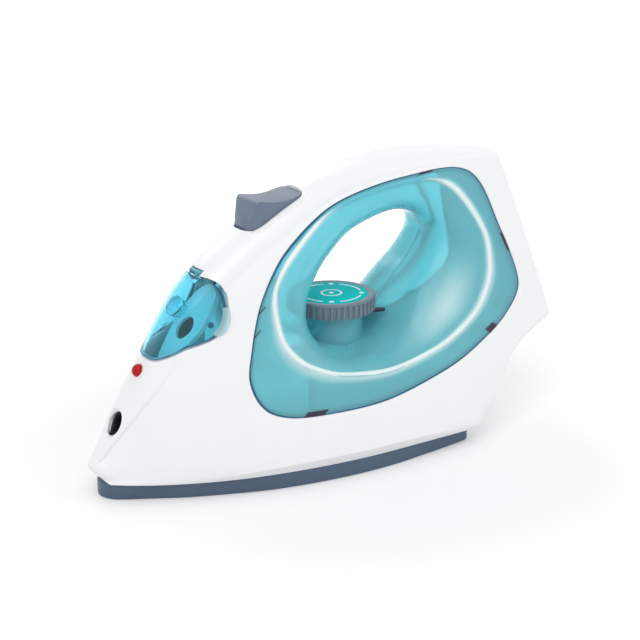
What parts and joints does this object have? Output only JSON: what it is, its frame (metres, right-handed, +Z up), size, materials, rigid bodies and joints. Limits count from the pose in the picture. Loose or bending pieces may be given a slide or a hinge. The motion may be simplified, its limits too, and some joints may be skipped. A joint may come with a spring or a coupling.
{
  "type": "toy steam iron",
  "caption": "Child-size toy iron with a white two-half body, see-through hand tunnel, turning dial, sprung spray button, hinged nose cover and a lift-off battery door.",
  "frame": {"origin": "on the flat underside of the soleplate, on the centre plane, under the middle of the body", "axes": "+X towards the heel, -X towards the nose, +Y towards the side away from the picture, +Z up"},
  "size_m": [0.235, 0.0932, 0.1358],
  "materials": {
    "white_shell": "glossy moulded plastic",
    "aqua_clear": "see-through tinted plastic",
    "slate_sole": "smooth moulded plastic",
    "grey_knob": "satin moulded plastic",
    "teal_label": "printed sticker",
    "grey_shaft": "moulded plastic",
    "dark_marker": "moulded plastic",
    "black_part": "moulded plastic",
    "white_inner": "moulded plastic",
    "grey_button": "satin moulded plastic",
    "wire_steel": "plain steel wire",
    "clear_hose": "soft vinyl hose",
    "red_lamp": "tinted lens",
    "green_board": "circuit board",
    "cell_wrap": "plastic sleeve",
    "contact_steel": "sheet steel",
    "red_wire": "insulated wire",
    "screw_steel": "zinc plated"
  },
  "bodies": {
    "base": {"left_shell": "white_shell", "right_shell": "white_shell", "left_panel": "aqua_clear", "right_panel": "aqua_clear", "soleplate": "slate_sole", "dial_pedestal": "aqua_clear", "dial_pointer": "dark_marker", "dial_switch": "black_part", "inner_frame": "white_inner", "button_spring": "wire_steel", "pump_body": "white_inner", "intake_tube": "clear_hose", "spray_hose": "clear_hose", "spray_nozzle": "black_part", "water_tank": "white_inner", "filler_neck": "white_inner", "filler_valve": "black_part", "cover_pin": "screw_steel", "status_lamp": "red_lamp", "lamp_board": "green_board", "battery_box": "white_inner", "cells": "cell_wrap", "battery_contacts": "contact_steel", "wires": "red_wire", "shell_screws": "screw_steel", "sole_screws": "screw_steel"},
    "dial": {"dial_knob": "grey_knob", "dial_label": "teal_label", "dial_shaft": "grey_shaft"},
    "button": {"spray_button": "grey_button", "pump_plunger": "white_inner"},
    "cover": {"nose_cover": "aqua_clear"},
    "door": {"battery_door": "white_shell", "door_screw": "screw_steel"}
  },
  "joints": [
    {"name": "dial_turn", "type": "hinge", "parent": "base", "child": "dial", "pos_m": [0.0063, 0, 0.0687], "axis": [0, 0, 1], "range_deg": [-135, 135]},
    {"name": "button_press", "type": "slide", "parent": "base", "child": "button", "axis": [0, 0, -1], "range_m": [0, 0.0035], "stiffness_N_per_m": 400, "springref_m": -0.002, "deforming": ["button_spring"]},
    {"name": "cover_open", "type": "hinge", "parent": "base", "child": "cover", "pos_m": [-0.0632, 0, 0.0934], "axis": [0, 1, 0], "range_deg": [0, 70]},
    {"name": "door_lift", "type": "slide", "parent": "base", "child": "door", "axis": [0.9642, 0, 0.2652], "range_m": [0, 0.02]}
  ]
}
